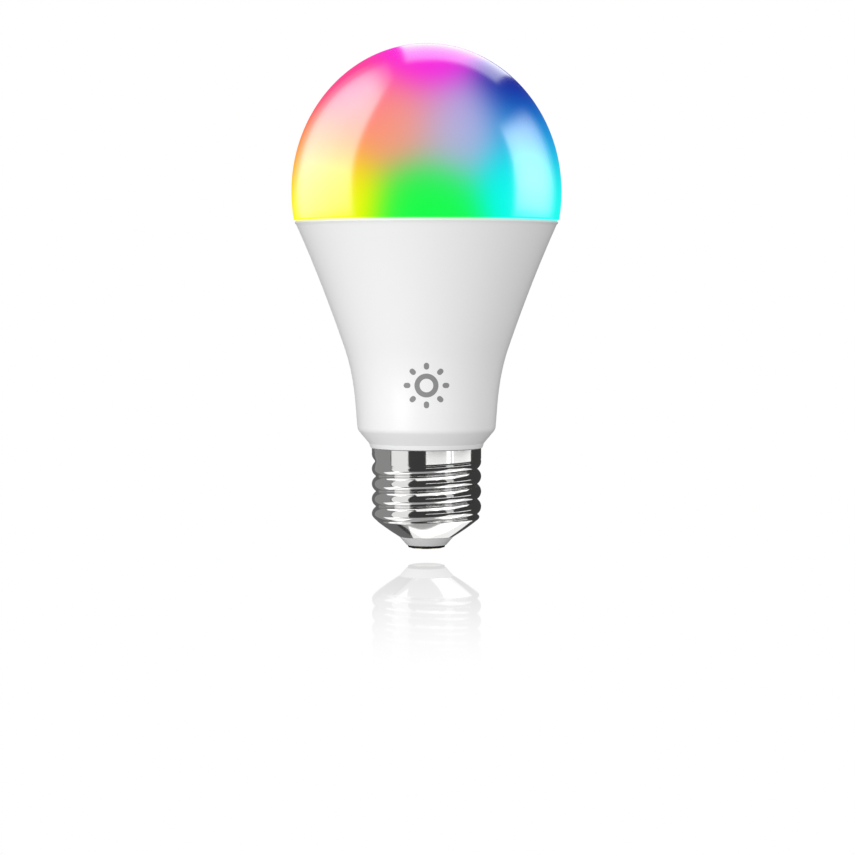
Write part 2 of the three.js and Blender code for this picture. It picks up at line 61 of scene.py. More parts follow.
def rounded(corners, steps=6):
    """A profile of (r, z, radius) corners, each swapped for the arc of its radius that touches its sides."""
    corners = np.array(corners, float)
    count = len(corners)
    parts = []
    for i in range(count):
        here, radius = corners[i, :2], corners[i, 2]
        if radius == 0:
            parts.append(here[None])
            continue
        back = corners[i - 1, :2] - here
        on = corners[(i + 1) % count, :2] - here
        back, on = back / np.hypot(*back), on / np.hypot(*on)
        half = np.arccos(np.clip(back @ on, -1, 1)) / 2
        middle = here + (back + on) / np.hypot(*(back + on)) * radius / np.sin(half)
        first = here + back * radius / np.tan(half) - middle
        last = here + on * radius / np.tan(half) - middle
        sweep = np.pi - 2 * half
        t = np.linspace(0, 1, steps + 1)[:, None]
        parts.append(middle + (np.sin((1 - t) * sweep) * first + np.sin(t * sweep) * last) / np.sin(sweep))
    return np.concatenate(parts)


def turned(profile, facets=128):
    """A profile of [r, z] rows carried round the axis: x = r cos a, y = r sin a."""
    a = np.linspace(0, 2 * np.pi, facets, endpoint=False)
    r, z = np.asarray(profile, float).T[..., None]
    return np.stack([r * np.cos(a), r * np.sin(a), z + 0 * a], axis=-1)


def surface(name, grid, stands_for=(), crease=32, ring=True, wrap=True):
    """Grids of points in millimetres made one closed piece: rows join in a ring unless both end at a pole.

    The last three axes of the array are rows, columns and x, y, z. A first axis, if any, counts the grids.
    """
    grid = grid.reshape(-1, *grid.shape[-3:])
    index = np.arange(grid.size // 3).reshape(grid.shape[:3])
    if ring:
        index = np.concatenate([index, index[:, :1]], axis=1)
    if wrap:
        index = np.concatenate([index, index[:, :, :1]], axis=2)
    quads = np.stack([index[:, :-1, :-1], index[:, :-1, 1:], index[:, 1:, 1:], index[:, 1:, :-1]], -1)
    mesh = bpy.data.meshes.new(name)
    mesh.from_pydata((grid.reshape(-1, 3) * MM).tolist(), [], quads.reshape(-1, 4).tolist())
    return finish_piece(name, mesh, stands_for, crease)


def finish_piece(name, mesh, stands_for=(), crease=32):
    """Merge the poles and seams, turn the faces outward, hang the piece on the root and hide the CAD nodes
    it stands for.
    """
    bm = bmesh.new()
    bm.from_mesh(mesh)
    bmesh.ops.remove_doubles(bm, verts=bm.verts, dist=1e-7)
    if bm.calc_volume(signed=True) < 0:
        bmesh.ops.reverse_faces(bm, faces=bm.faces)
    bm.to_mesh(mesh)
    bm.free()
    mesh.polygons.foreach_set("use_smooth", np.ones(len(mesh.polygons), bool))
    mesh.set_sharp_from_angle(angle=np.radians(crease))
    piece = bpy.data.objects.new(name, mesh)
    bpy.context.scene.collection.objects.link(piece)
    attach(piece, "root")
    if stands_for:
        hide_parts(*stands_for)
    return piece


class Finish:
    """A material with one Principled shader, and short ways to add the nodes that feed it."""

    def __init__(self, name, color, **constants):
        self.material = bpy.data.materials.new(name)
        self.material.use_nodes = True
        self.nodes = self.material.node_tree.nodes
        self.links = self.material.node_tree.links
        self.shader = self.nodes["Principled BSDF"]
        self.shader.inputs["Base Color"].default_value = (*color, 1)
        for socket, value in constants.items():
            self.shader.inputs[socket.replace("_", " ")].default_value = value

    def node(self, kind, *given, **settings):
        return add_node(self.material.node_tree, kind, *given, **settings)

    def place(self, scale=(1, 1, 1), location=(0, 0, 0), rotation=(0, 0, 0)):
        """Object coordinates, moved and stretched."""
        spot = self.node("ShaderNodeTexCoord")
        mapping = self.node("ShaderNodeMapping", spot.outputs["Object"])
        mapping.inputs["Scale"].default_value = scale
        mapping.inputs["Location"].default_value = location
        mapping.inputs["Rotation"].default_value = rotation
        return mapping.outputs[0]

    def group(self, tree, **values):
        """A shared effect placed here with its own values."""
        node = self.node("ShaderNodeGroup")
        node.node_tree = tree
        for socket, value in values.items():
            target = node.inputs[socket.replace("_", " ")]
            if isinstance(value, bpy.types.NodeSocket):
                self.links.new(value, target)
            else:
                target.default_value = value
        return node.outputs

    def feed(self, socket, output):
        self.links.new(output, self.shader.inputs[socket])

    def bump(self, height, strength, distance=0.0002):
        node = self.node("ShaderNodeBump")
        node.inputs["Strength"].default_value = strength
        node.inputs["Distance"].default_value = distance
        self.links.new(height, node.inputs["Height"])
        self.feed("Normal", node.outputs[0])

    def dress(self, *pieces):
        """Put the finish on new pieces, or on CAD nodes by name."""
        for piece in pieces:
            if isinstance(piece, str):
                for place in bpy.data.objects[piece].material_slots:
                    place.material = self.material
            else:
                piece.data.materials.append(self.material)


def add_node(tree, kind, *given, **settings):
    """A node with settings by name, whose first inputs are outputs to link or values to set."""
    node = tree.nodes.new(kind)
    for setting, value in settings.items():
        setattr(node, setting, value)
    for socket, value in zip(node.inputs, given):
        if isinstance(value, bpy.types.NodeSocket):
            tree.links.new(value, socket)
        elif value is not None:
            socket.default_value = value
    return node


def effect(name, inputs, outputs):
    """An empty shader node group with named number, vector or colour sockets."""
    tree = bpy.data.node_groups.new(name, "ShaderNodeTree")
    for label, (kind, value) in inputs.items():
        socket = tree.interface.new_socket(name=label, in_out="INPUT", socket_type="NodeSocket" + kind)
        if value is not None:
            socket.default_value = value
    for label, kind in outputs.items():
        tree.interface.new_socket(name=label, in_out="OUTPUT", socket_type="NodeSocket" + kind)
    entry = tree.nodes.new("NodeGroupInput").outputs
    end = tree.nodes.new("NodeGroupOutput").inputs
    return tree, entry, end


# Marks of rolling and turning: fine lines round the axis, and a slower unevenness under them.
turning_marks, entry, end = effect(
    "turning_marks",
    {"Vector": ("Vector", None), "Roughness": ("Float", 0.2), "Spread": ("Float", 0.1)},
    {"Roughness": "Float", "Height": "Float"},
)
lines = add_node(turning_marks, "ShaderNodeMapping", entry["Vector"])
lines.inputs["Scale"].default_value = (60, 60, 9000)
fine = add_node(turning_marks, "ShaderNodeTexNoise", lines.outputs[0])
fine.inputs["Scale"].default_value = 1
fine.inputs["Detail"].default_value = 3
slow = add_node(turning_marks, "ShaderNodeTexNoise", entry["Vector"])
slow.inputs["Scale"].default_value = 260
both = add_node(turning_marks, "ShaderNodeMath", fine.outputs["Fac"], slow.outputs["Fac"], operation="ADD")
centred = add_node(turning_marks, "ShaderNodeMath", both.outputs[0], 1.0, operation="SUBTRACT")
spread = add_node(turning_marks, "ShaderNodeMath", centred.outputs[0], entry["Spread"], entry["Roughness"])
spread.operation = "MULTIPLY_ADD"
turning_marks.links.new(spread.outputs[0], end["Roughness"])
turning_marks.links.new(fine.outputs["Fac"], end["Height"])

_, contact_top = extent("centre_contact")
washer_low, washer_top = extent("contact_washer")
CONTACT_RADIUS = 3.7
RIVET_RADIUS = 1.3
contact_profile = rounded(
    [
        (0, 0, 0),
        (CONTACT_RADIUS, 0, 0.12),
        (CONTACT_RADIUS, washer_low[2], 0.06),
        (RIVET_RADIUS, washer_low[2], 0),
        (RIVET_RADIUS, 5.2, 0),
        (RIVET_RADIUS + 0.8, 5.2, 0.1),
        (RIVET_RADIUS + 0.6, contact_top[2] - 0.6, 0.3),
        (RIVET_RADIUS - 0.5, contact_top[2], 0.2),
        (0, contact_top[2], 0),
    ]
)
contact_grid = turned(contact_profile, 96)
contact = surface("contact_rivet", contact_grid, ["centre_contact"], ring=False)
plated_brass = Finish("plated_brass", (0.72, 0.66, 0.54), Metallic=1.0)
marks = plated_brass.group(turning_marks, Vector=plated_brass.place(), Roughness=0.28, Spread=0.25)
plated_brass.feed("Roughness", marks["Roughness"])
plated_brass.bump(marks["Height"], 0.12)
plated_brass.dress(contact)

# ---- Washer and insulator -----------------------------------------------------------------
# A black pressed washer lies under a pale grey insulating cone, which the metal shell is rolled over.
# Both are moulded, with a fine even grain and a slight gloss.
moulded_grain, entry, end = effect(
    "moulded_grain",
    {
        "Vector": ("Vector", None),
        "Grain": ("Float", 5000.0),
        "Roughness": ("Float", 0.4),
        "Spread": ("Float", 0.1),
    },
    {"Roughness": "Float", "Height": "Float"},
)
grain = add_node(moulded_grain, "ShaderNodeTexNoise", entry["Vector"])
moulded_grain.links.new(entry["Grain"], grain.inputs["Scale"])
grain.inputs["Detail"].default_value = 2
handling = add_node(moulded_grain, "ShaderNodeTexNoise", entry["Vector"])
handling.inputs["Scale"].default_value = 70
handling.inputs["Detail"].default_value = 5
both = add_node(moulded_grain, "ShaderNodeMath", grain.outputs["Fac"], handling.outputs["Fac"])
both.operation = "ADD"
centred = add_node(moulded_grain, "ShaderNodeMath", both.outputs[0], 1.0, operation="SUBTRACT")
spread = add_node(moulded_grain, "ShaderNodeMath", centred.outputs[0], entry["Spread"], entry["Roughness"])
spread.operation = "MULTIPLY_ADD"
moulded_grain.links.new(spread.outputs[0], end["Roughness"])
moulded_grain.links.new(grain.outputs["Fac"], end["Height"])


def moulded(name, color, roughness, grain=5000.0, bump=0.08, spread=0.12, **constants):
    """A moulded plastic finish in one colour."""
    finish = Finish(name, color, **constants)
    look = {"Grain": grain, "Roughness": roughness, "Spread": spread}
    marks = finish.group(moulded_grain, Vector=finish.place(), **look)
    finish.feed("Roughness", marks["Roughness"])
    finish.bump(marks["Height"], bump)
    return finish


HOLE_RADIUS = 1.5
WASHER_RADIUS = 4.45
washer_profile = rounded(
    [
        (HOLE_RADIUS, washer_low[2], 0.05),
        (WASHER_RADIUS, washer_low[2], 0.25),
        (WASHER_RADIUS, washer_top[2], 0.05),
        (HOLE_RADIUS, washer_top[2], 0.05),
    ]
)
washer = surface("insulating_washer", turned(washer_profile, 128), ["contact_washer"])
moulded("black_fibre", (0.008, 0.008, 0.008), 0.6, bump=0.2).dress(washer)

insulator_low, insulator_high = extent("cap_insulator")
cap_low, cap_high = extent("screw_cap")
INSULATOR_FOOT = 4.75
INSULATOR_RIM = 6.5
INSULATOR_NECK = 5.95
INSULATOR_HEAD = 7.0
insulator_profile = rounded(
    [
        (HOLE_RADIUS, insulator_low[2], 0.05),
        (INSULATOR_FOOT, insulator_low[2], 0.2),
        (INSULATOR_RIM, cap_low[2] - 0.05, 0.06),
        (INSULATOR_NECK, cap_low[2] - 0.05, 0),
        (INSULATOR_NECK, cap_low[2] + 0.6, 0),
        (INSULATOR_HEAD, 4.3, 0.1),
        (INSULATOR_HEAD, insulator_high[2], 0.2),
        (HOLE_RADIUS, insulator_high[2], 0.05),
    ]
)
insulator = surface("insulating_cone", turned(insulator_profile, 128), ["cap_insulator"])
moulded("grey_insulator", (0.62, 0.62, 0.62), 0.22, spread=0.08).dress(insulator)

# ---- Screw cap ----------------------------------------------------------------------------
# A drawn brass shell, nickel plated, whose thread is rolled in, with wide crests and tight roots.
# Its upper edge stays plain and is pressed against the housing's neck.
PITCH = 3.629
CREST_ARC = 2.0
ROOT_ARC = 0.25
CREST_Z = 17.3
RUN_OUT = (0.5, 0.575)
LAST_CREST = (1.4, 1.6)
VALLEY_DEPTH = 0.07
VALLEY_WIDTH = 0.22
CONE_FOOT = 6.6
CONE_SLOPE = 1.6
CONE_BULGE = 0.047
CONE_SOFTNESS = 0.8
CAP_BORE = 11.7
crest_radius = (cap_high[0] - cap_low[0]) / 2


def groove(from_crest):
    """Depth below the crest: a wide arc falls away and a tighter one turns it level at the root.

    An arc of radius R falls by R - sqrt(R^2 - t^2) at a distance t from its top.
    """
    t = np.abs(from_crest - PITCH * np.round(from_crest / PITCH))
    join = PITCH / 2 * CREST_ARC / (CREST_ARC + ROOT_ARC)
    fall = CREST_ARC - np.sqrt(CREST_ARC**2 - np.minimum(t, join) ** 2)
    left = np.clip(PITCH / 2 - t, 0, PITCH / 2 - join)
    rise = ROOT_ARC - np.sqrt(ROOT_ARC**2 - left**2)
    slope = join / CREST_ARC
    depth = (CREST_ARC + ROOT_ARC) * (1 - np.sqrt(1 - slope**2))
    return np.where(t < join, fall, depth - rise)


def smooth(value, low, high):
    """A step from 0 to 1 with level ends."""
    t = np.clip((value - low) / (high - low), 0, 1)
    return t * t * (3 - 2 * t)


def shell_grid(facets=160, steps=520):
    """The outside r(a, z) climbs one pitch a turn and runs out under the collar; the inside is plain.

    turns = (z - CREST_Z) / PITCH - a / 2 pi counts crests, and the cone and the thread meet in a soft edge.
    """
    a = np.linspace(0, 2 * np.pi, facets, endpoint=False)[None]
    z = np.linspace(cap_low[2], cap_high[2] - 0.1, steps)[:, None]
    turns = (z - CREST_Z) / PITCH - a / (2 * np.pi)
    groove_turn = np.floor(turns) + a / (2 * np.pi)
    plain = smooth(groove_turn, *RUN_OUT)
    above_crest = np.clip((turns - np.floor(turns)) / VALLEY_WIDTH, 0, 1)
    dip = (1 - np.cos(2 * np.pi * above_crest)) / 2
    valley = VALLEY_DEPTH * dip * (1 - smooth(groove_turn, *LAST_CREST))
    thread = crest_radius - (1 - plain) * groove(turns * PITCH) - plain * valley
    height = z - cap_low[2] + 0 * a
    cone = CONE_FOOT + CONE_SLOPE * height - CONE_BULGE * height**2
    blend = np.clip(0.5 + 0.5 * (cone - thread) / CONE_SOFTNESS, 0, 1)
    r = cone + (thread - cone) * blend - CONE_SOFTNESS * blend * (1 - blend)
    outside = np.stack([r * np.cos(a), r * np.sin(a), z + 0 * a], axis=-1)
    top = cap_high[2]
    inside = [(crest_radius - 0.12, top), (CAP_BORE, top), (CAP_BORE, 7.4), (8.7, 4.9), (6.1, cap_low[2])]
    return np.concatenate([outside, turned(inside, facets)])


shell = surface("threaded_shell", shell_grid(), ["screw_cap"], crease=40)
nickel = Finish("bright_nickel", (0.79, 0.787, 0.78), Metallic=1.0)
marks = nickel.group(turning_marks, Vector=nickel.place(), Roughness=0.085, Spread=0.03)
nickel.feed("Roughness", marks["Roughness"])
nickel.bump(marks["Height"], 0.003)
nickel.dress(shell)

# ---- Housing ------------------------------------------------------------------------------
# One white polycarbonate moulding: a flared cup over a chamfered foot, a stepped lip and a neck in the cap.
# Its skin is satin, and the upper edge has a fine rounded rim where the dome drops in.
housing_low, housing_high = extent("housing_shell")
RIM_RADIUS = housing_high[0]
FOOT = (16.7, 29.6)
WAIST = (19.8, 48.6)
HOUSING_WALL = 1.6
SOCKET_RADIUS = 28.3
LIP_Z = 24.2


def bezier(a, b, c, d, steps):
    """A cubic Bezier curve through its four points in the [r, z] plane."""
    t = np.linspace(0, 1, steps)[:, None]
    a, b, c, d = np.array([a, b, c, d], float)
    return a * (1 - t) ** 3 + 3 * b * t * (1 - t) ** 2 + 3 * c * t**2 * (1 - t) + d * t**3


def flare_profile(steps=60):
    """The cup's outside: two Bezier curves that share a tangent at the waist."""
    foot = bezier(FOOT, (FOOT[0] + 0.37, FOOT[1] + 7.5), (WAIST[0] - 2.07, WAIST[1] - 6), WAIST, steps)
    rim = (RIM_RADIUS, housing_high[2])
    cup = bezier(WAIST, (WAIST[0] + 3.45, WAIST[1] + 10), (rim[0] - 4.5, rim[1] - 9.9), rim, steps)
    return np.concatenate([foot, cup[1:]])


flare = flare_profile()
neck = [
    (10.1, housing_low[2], 0.2),
    (11.45, housing_low[2], 0.2),
    (11.45, LIP_Z, 0),
    (13.42, LIP_Z, 0.12),
    (13.8, 25.3, 0.25),
    (16.55, 28.6, 2.2),
]
outer = np.concatenate([rounded(neck + [(16.78, 31.0, 0)])[:-1], flare[12:-2]])
rim = rounded(
    [
        (*flare[-6], 0),
        (RIM_RADIUS - 0.05, housing_high[2] - 0.55, 0.3),
        (RIM_RADIUS - 0.5, housing_high[2], 0.3),
        (SOCKET_RADIUS, housing_high[2], 0.1),
        (SOCKET_RADIUS, 74.9, 0),
    ]
)[1:]
inner = flare[(flare[:, 1] > 31.6) & (flare[:, 1] < 74.4)][::-4] - [HOUSING_WALL, 0]
foot_inside = [(15.1, 31.2), (10.1, 27.2)]
housing_profile = np.concatenate([outer, rim, inner, foot_inside])
housing = surface("housing", turned(housing_profile, 220), ["housing_shell"])
white_satin = moulded("white_satin", (0.80, 0.80, 0.80), 0.33, grain=4200.0, bump=0.05, spread=0.08)
white_satin.dress(housing)

# ---- Printed mark -------------------------------------------------------------------------
# A pad-printed pictogram in grey ink on the cup's front: a plain sun, for a lamp that can be dimmed.
# It is a thin film that follows the cup's curve.
MARK_Z = 39.7
MARK_RING = (1.6, 2.8)
MARK_RAYS = 8
RAY_SPAN = (3.75, 5.35)
RAY_WIDTH = 1.25
FILM = (-0.03, 0.02)


def on_cup(x, z, lift):
    """Points of the flat drawing laid on the cup: y = -sqrt((r(z) + lift)^2 - x^2), with r(z) the flare."""
    r = np.interp(z, flare[:, 1], flare[:, 0]) + lift
    return np.stack([x, -np.sqrt(r**2 - x**2), z], axis=-1)


a = np.linspace(0, 2 * np.pi, 72, endpoint=False)[None]
radius = np.array([MARK_RING[0], MARK_RING[1], MARK_RING[1], MARK_RING[0]])[:, None]
lift = np.array([FILM[0], FILM[0], FILM[1], FILM[1]])[:, None]
mark_ring = surface(
    "printed_sun_ring",
    on_cup(radius * np.cos(a), MARK_Z + radius * np.sin(a), lift + 0 * a),
)
turn = np.linspace(0, 2 * np.pi, MARK_RAYS, endpoint=False)[:, None, None]
a = np.linspace(0, 2 * np.pi, 24, endpoint=False)[None, None]
size = np.array([0, 1, 1, 0])[None, :, None]
half = (RAY_SPAN[1] - RAY_SPAN[0] - RAY_WIDTH) / 2
along = (RAY_SPAN[0] + RAY_SPAN[1]) / 2 + size * (RAY_WIDTH / 2 * np.cos(a) + half * np.sign(np.cos(a)))
across = size * RAY_WIDTH / 2 * np.sin(a)
mark_rays = surface(
    "printed_sun_rays",
    on_cup(
        along * np.cos(turn) - across * np.sin(turn),
        MARK_Z + along * np.sin(turn) + across * np.cos(turn),
        lift[None] + 0 * a + 0 * turn,
    ),
    ring=False,
)
ink = moulded("grey_ink", (0.24, 0.24, 0.24), 0.5, grain=3000.0, bump=0.1, spread=0.15)
ink.dress(mark_ring, mark_rays)

# ---- Dome ---------------------------------------------------------------------------------
# A blow-moulded opal polycarbonate dome, glossy outside, glued into the housing by its skirt.
# The emitters' colours run round a pale centre, as the light mixes in its wall.
dome_low, dome_high = extent("diffuser_dome")
DOME_CENTRE_Z = 85.3
DOME_RADIUS = 32.3
DOME_WALL = 1.5
SKIRT_RADIUS = 28.1
SEAM_Z = housing_high[2] + 0.1
dome_half = dome_high[2] - DOME_CENTRE_Z
t = np.linspace(np.arcsin((SEAM_Z - DOME_CENTRE_Z) / dome_half), np.pi / 2, 110)
outside = np.stack([DOME_RADIUS * np.cos(t), DOME_CENTRE_Z + dome_half * np.sin(t)], 1)
outside[-1, 0] = 0
t = np.linspace(np.pi / 2, 0, 40)
inside_half = dome_half - DOME_WALL
inside = np.stack([(DOME_RADIUS - DOME_WALL) * np.cos(t), DOME_CENTRE_Z + inside_half * np.sin(t)], 1)
inside[0, 0] = 0
skirt_inside = SKIRT_RADIUS - DOME_WALL
skirt = rounded(
    [
        (*inside[-1], 0),
        (skirt_inside, SEAM_Z + 1, 0.5),
        (skirt_inside, dome_low[2], 0.3),
        (SKIRT_RADIUS, dome_low[2], 0.3),
        (SKIRT_RADIUS, SEAM_Z, 0.1),
        (*outside[0], 0.25),
        (*outside[3], 0),
    ]
)[1:-1]
dome_profile = np.concatenate([inside, skirt, outside[3:]])
dome = surface("opal_dome", turned(dome_profile, 240), ["diffuser_dome"], ring=False)

# Pools of light on the wall: how far across and up in millimetres, with the display colour there.
POOLS = [
    (0, 118, (1.0, 0.1, 0.9)),
    (-22, 110, (1.0, 0.2, 0.6)),
    (24, 112, (0.0, 0.0, 0.5)),
    (-25, 98, (1.0, 0.6, 0.3)),
    (-8, 101, (1.0, 0.6, 0.5)),
    (8, 100, (0.7, 0.7, 0.9)),
    (27, 101, (0.0, 0.6, 0.9)),
    (-22, 83, (1.0, 1.0, 0.0)),
    (0, 80, (0.1, 1.0, 0.3)),
    (24, 86, (0.0, 1.0, 0.95)),
]
POOL_REACH = 0.007
DISPLAY_GAMMA = 2.2
GLOW = 0.92
UNLIT_SHARE = 0.12

# One pool: its weight falls off as a bell curve, and its colour joins the running sum.
light_pool, entry, end = effect(
    "light_pool",
    {
        "Vector": ("Vector", None),
        "Centre": ("Vector", None),
        "Colour": ("Vector", None),
        "Colour So Far": ("Vector", (0, 0, 0)),
        "Weight So Far": ("Float", 0.0),
    },
    {"Colour": "Vector", "Weight": "Float"},
)
offset = add_node(light_pool, "ShaderNodeVectorMath", entry["Vector"], entry["Centre"])
offset.operation = "SUBTRACT"
flattened = add_node(light_pool, "ShaderNodeVectorMath", offset.outputs[0], (1, 0, 1), operation="MULTIPLY")
flat = flattened.outputs[0]
square = add_node(light_pool, "ShaderNodeVectorMath", flat, flat, operation="DOT_PRODUCT").outputs["Value"]
falling = add_node(light_pool, "ShaderNodeMath", square, -0.5 / POOL_REACH**2, operation="MULTIPLY")
weight = add_node(light_pool, "ShaderNodeMath", falling.outputs[0], operation="EXPONENT").outputs[0]
weighed = add_node(light_pool, "ShaderNodeVectorMath", entry["Colour"], operation="SCALE")
light_pool.links.new(weight, weighed.inputs["Scale"])
summed = add_node(light_pool, "ShaderNodeVectorMath", entry["Colour So Far"], weighed.outputs[0])
summed.operation = "ADD"
total = add_node(light_pool, "ShaderNodeMath", entry["Weight So Far"], weight, operation="ADD")
light_pool.links.new(summed.outputs[0], end["Colour"])
light_pool.links.new(total.outputs[0], end["Weight"])

glow = Finish("lit_opal", (0.1, 0.1, 0.1), Roughness=0.16, IOR=1.5)
spot = glow.place()
running = {}
for across, up, colour in POOLS:
    place = (across * MM, 0, up * MM)
    pool = glow.group(light_pool, Vector=spot, Centre=place, Colour=colour, **running)
    running = {"Colour_So_Far": pool["Colour"], "Weight_So_Far": pool["Weight"]}
share = glow.node("ShaderNodeMath", 1.0, running["Weight_So_Far"], operation="DIVIDE")
even = glow.node("ShaderNodeVectorMath", running["Colour_So_Far"], operation="SCALE")
glow.links.new(share.outputs[0], even.inputs["Scale"])
mix_out = glow.node("ShaderNodeGamma", even.outputs[0], DISPLAY_GAMMA).outputs[0]
glow.feed("Emission Color", mix_out)
glow.shader.inputs["Emission Strength"].default_value = GLOW
dark = glow.node("ShaderNodeVectorMath", mix_out, (UNLIT_SHARE,) * 3, operation="MULTIPLY")
glow.feed("Base Color", dark.outputs[0])
glow.dress(dome)

# ---- Light board and heat sink ------------------------------------------------------------
# A spun aluminium cup carries the light board on a silicone pad, with two screws and a ring of sealant.
# The board is aluminium under white mask, and its packages have a phosphor or clear face in a white frame.
uneven_colour, entry, end = effect(
    "uneven_colour",
    {
        "Vector": ("Vector", None),
        "Colour": ("Color", None),
        "Amount": ("Float", 0.12),
        "Scale": ("Float", 400.0),
    },
    {"Colour": "Color"},
)
cloud = add_node(uneven_colour, "ShaderNodeTexNoise", entry["Vector"])
cloud.inputs["Detail"].default_value = 4
uneven_colour.links.new(entry["Scale"], cloud.inputs["Scale"])
darkest = add_node(uneven_colour, "ShaderNodeMath", 1.0, entry["Amount"], operation="SUBTRACT")
lightest = add_node(uneven_colour, "ShaderNodeMath", 1.0, entry["Amount"], operation="ADD")
swing = add_node(
    uneven_colour,
    "ShaderNodeMapRange",
    cloud.outputs["Fac"],
    0.3,
    0.7,
    darkest.outputs[0],
    lightest.outputs[0],
)
shade = add_node(uneven_colour, "ShaderNodeHueSaturation")
uneven_colour.links.new(swing.outputs[0], shade.inputs["Value"])
uneven_colour.links.new(entry["Colour"], shade.inputs["Color"])
uneven_colour.links.new(shade.outputs[0], end["Colour"])

# Straight copper tracks that stand a little proud under a board's mask.
tracks_under_mask, entry, end = effect(
    "tracks_under_mask",
    {"Vector": ("Vector", None), "Scale": ("Float", 220.0)},
    {"Track": "Float"},
)
courses = add_node(tracks_under_mask, "ShaderNodeTexBrick", entry["Vector"])
tracks_under_mask.links.new(entry["Scale"], courses.inputs["Scale"])
courses.inputs["Mortar Size"].default_value = 0.05
courses.inputs["Mortar Smooth"].default_value = 0.2
tracks_under_mask.links.new(courses.outputs["Fac"], end["Track"])


def tint(slot):
    """The record's colour for a material slot."""
    return next(row["base_color"] for row in frame["record"]["materials"] if row["slot"] == slot)


def nodes_in(slot):
    """The CAD nodes that take their finish from a slot."""
    return [row["node"] for row in frame["record"]["subparts"] if row["material_slot"] == slot]


def clouded(finish, color, amount, scale=400.0):
    """Cloudy changes of brightness over a colour."""
    look = {"Colour": (*color, 1), "Amount": amount, "Scale": scale}
    cloud = finish.group(uneven_colour, Vector=finish.place(), **look)
    finish.feed("Base Color", cloud["Colour"])
    return cloud["Colour"]


def dress_plastic(slot, roughness, amount=0.1, scale=400.0, **more):
    """A moulded or dipped finish in a slot's own colour, on the slot's CAD nodes."""
    finish = moulded(slot + "_finish", tint(slot), roughness, **more)
    clouded(finish, tint(slot), amount, scale)
    finish.dress(*nodes_in(slot))
    return finish


def dress_metal(slot, roughness, spread, bump, amount=0.05, rotation=(0, 0, 0)):
    """A turned, drawn or plated metal in a slot's own colour, on the slot's CAD nodes."""
    finish = Finish(slot + "_finish", tint(slot), Metallic=1.0)
    place = finish.place(rotation=rotation)
    marks = finish.group(turning_marks, Vector=place, Roughness=roughness, Spread=spread)
    finish.feed("Roughness", marks["Roughness"])
    finish.bump(marks["Height"], bump)
    clouded(finish, tint(slot), amount)
    finish.dress(*nodes_in(slot))
    return finish


def dress_board(slot, track_color, roughness, scale=220.0):
    """A circuit board's mask, with the tracks showing lighter and proud beneath it."""
    finish = Finish(slot + "_finish", tint(slot), Roughness=roughness, Coat_Weight=0.3)
    face = finish.place(rotation=BOARD_TURNS[slot])
    track = finish.group(tracks_under_mask, Vector=face, Scale=scale)["Track"]
    mask_color = clouded(finish, tint(slot), 0.08, 900.0)
    blend = finish.node("ShaderNodeMix", data_type="RGBA")
    finish.links.new(track, blend.inputs["Factor"])
    finish.links.new(mask_color, blend.inputs[6])
    blend.inputs[7].default_value = (*track_color, 1)
    finish.feed("Base Color", blend.outputs[2])
    finish.bump(track, 0.4, 0.00005)
    finish.dress(*nodes_in(slot))
    return finish


def dress_emitters(slot, face_roughness):
    """A white frame with the slot's colour on the face that looks up, lightly domed and grainy."""
    finish = moulded(slot + "_finish", tint(slot), face_roughness, grain=9000.0, bump=0.3)
    face = clouded(finish, tint(slot), 0.15, 2500.0)
    up = finish.node("ShaderNodeSeparateXYZ", finish.node("ShaderNodeNewGeometry").outputs["Normal"])
    facing = finish.node("ShaderNodeMapRange", up.outputs["Z"], 0.6, 0.9, 0.0, 1.0)
    blend = finish.node("ShaderNodeMix", data_type="RGBA")
    finish.links.new(facing.outputs[0], blend.inputs["Factor"])
    blend.inputs[6].default_value = (0.82, 0.82, 0.8, 1)
    finish.links.new(face, blend.inputs[7])
    finish.feed("Base Color", blend.outputs[2])
    finish.dress(*nodes_in(slot))
    return finish


QUARTER = np.pi / 2
BOARD_TURNS = {
    "light_board_white": (0, 0, 0),
    "board_green": (QUARTER, 0, 0),
    "radio_blue": (QUARTER, 0, 0),
}
dress_metal("cup_aluminium", 0.34, 0.12, 0.1)
dress_plastic("pad_silicone", 0.75, amount=0.22, scale=2600.0, bump=0.35)
dress_board("light_board_white", (0.66, 0.67, 0.68), 0.32, 140.0)
dress_emitters("led_warm", 0.4)
dress_emitters("led_cool", 0.4)
dress_emitters("led_colour", 0.18)
dress_plastic("seal_silicone", 0.42, amount=0.06, bump=0.12, Subsurface_Weight=0.15, Subsurface_Scale=0.001)
dress_metal("screw_steel", 0.3, 0.15, 0.08)

# ---- Driver -------------------------------------------------------------------------------
# An upright board with a small radio board plugged in beside it, all in a clear polyester sleeve.
# Dipped, moulded, wound and plated parts each keep their trade's usual surface.
turns_of_wire, entry, end = effect(
    "turns_of_wire",
    {"Vector": ("Vector", None), "Scale": ("Float", 3000.0)},
    {"Height": "Float"},
)
wave = add_node(turns_of_wire, "ShaderNodeTexWave", entry["Vector"], bands_direction="Z", wave_profile="SIN")
turns_of_wire.links.new(entry["Scale"], wave.inputs["Scale"])
wave.inputs["Distortion"].default_value = 0.4
wave.inputs["Detail"].default_value = 1
turns_of_wire.links.new(wave.outputs["Fac"], end["Height"])


